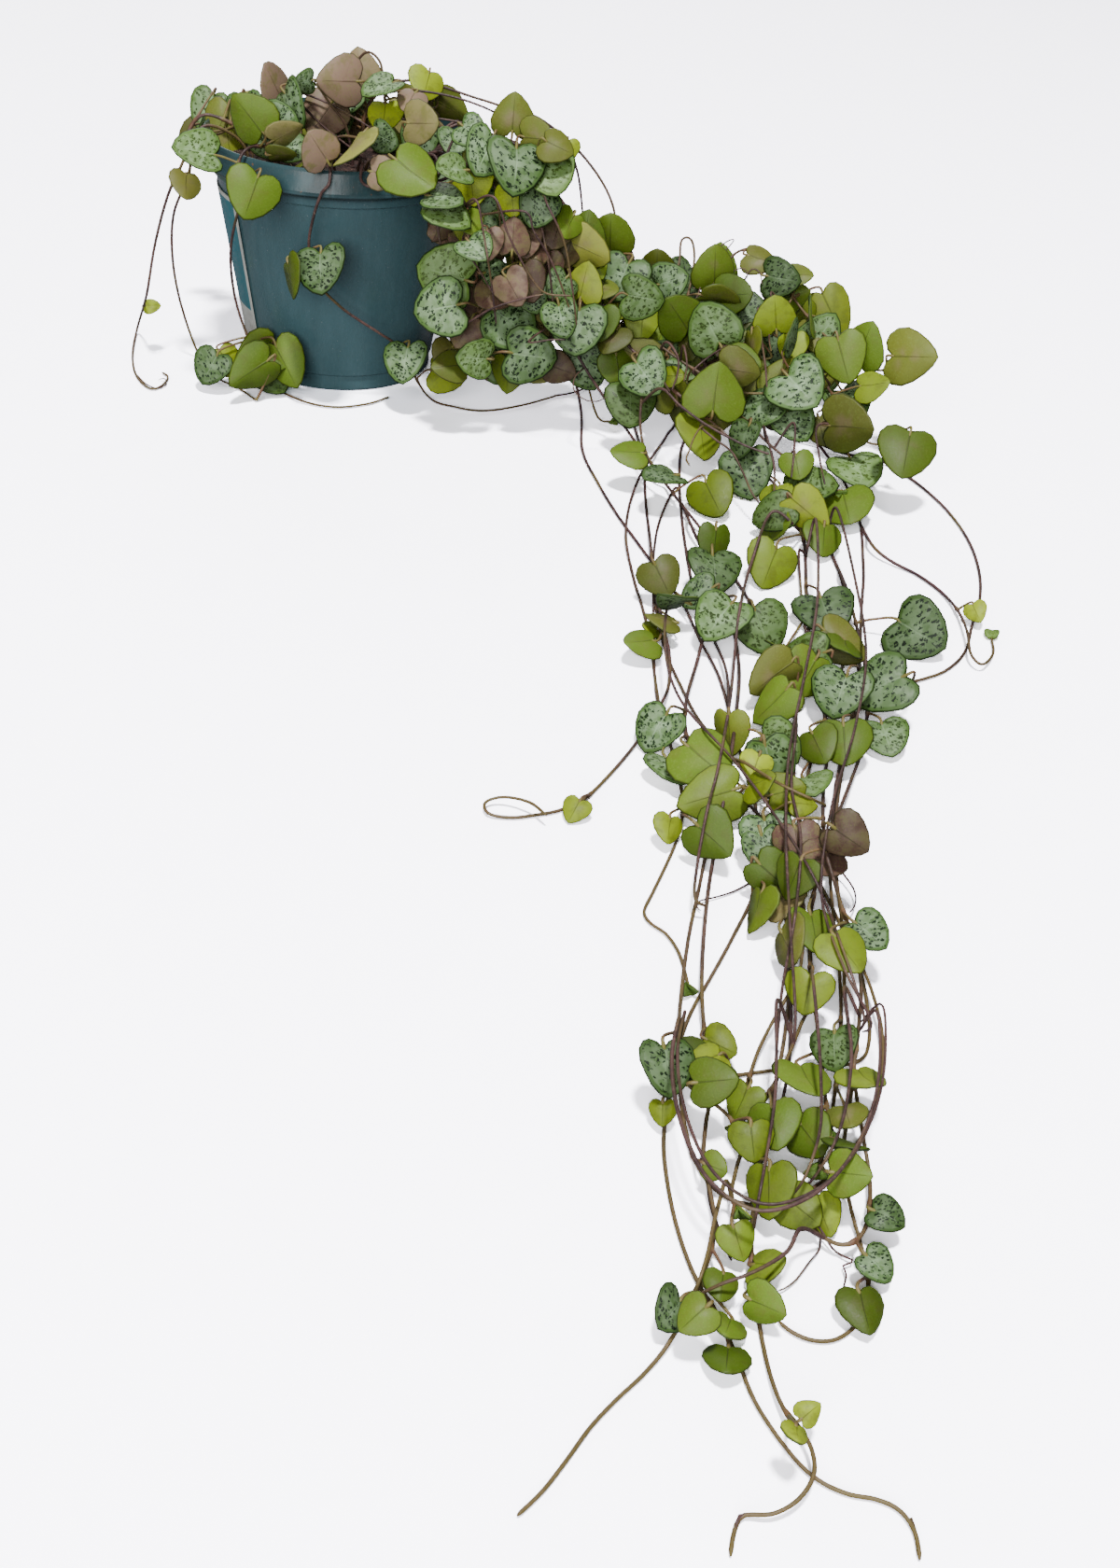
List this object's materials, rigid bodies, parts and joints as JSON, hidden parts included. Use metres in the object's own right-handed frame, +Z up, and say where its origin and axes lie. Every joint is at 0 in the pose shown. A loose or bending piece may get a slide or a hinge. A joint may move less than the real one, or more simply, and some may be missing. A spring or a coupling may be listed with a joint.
{
  "type": "potted trailing plant",
  "caption": "Potted string of hearts: wiry stems with small heart-shaped leaves spill over a round nursery pot's lip and trail over the surface it stands on.",
  "frame": {"origin": "the middle of the pot's underside, on the surface that the pot stands on", "axes": "+Z up along the pot's axis; the stems trail over the surface towards -Y and +X"},
  "size_m": [0.3462, 0.5917, 0.1273],
  "materials": {
    "pot_plastic": "gloss",
    "potting_soil": "matte",
    "label": "satin",
    "leafy_stem": "satin"
  },
  "bodies": {
    "root": {"nursery_pot": "pot_plastic", "potting_soil": "potting_soil", "pot_label": "label", "stem_left_far": "leafy_stem", "stem_left_near": "leafy_stem", "stem_front_left": "leafy_stem", "stem_front_mid": "leafy_stem", "stem_crown_loop": "leafy_stem", "stem_crown_left": "leafy_stem", "stem_crown_middle": "leafy_stem", "stem_crown_low": "leafy_stem", "stem_crown_back": "leafy_stem", "stem_crown_front": "leafy_stem", "stem_crown_right": "leafy_stem", "stem_curtain_1": "leafy_stem", "stem_curtain_2": "leafy_stem", "stem_curtain_3": "leafy_stem", "stem_curtain_4": "leafy_stem", "stem_curtain_5": "leafy_stem", "stem_heap_1": "leafy_stem", "stem_heap_2": "leafy_stem", "stem_heap_4": "leafy_stem", "stem_heap_6": "leafy_stem", "stem_trail_1": "leafy_stem", "stem_trail_2": "leafy_stem", "stem_trail_3": "leafy_stem", "stem_trail_4": "leafy_stem", "stem_trail_6": "leafy_stem", "stem_trail_7": "leafy_stem", "stem_trail_9": "leafy_stem", "stem_trail_11": "leafy_stem"}
  },
  "joints": []
}
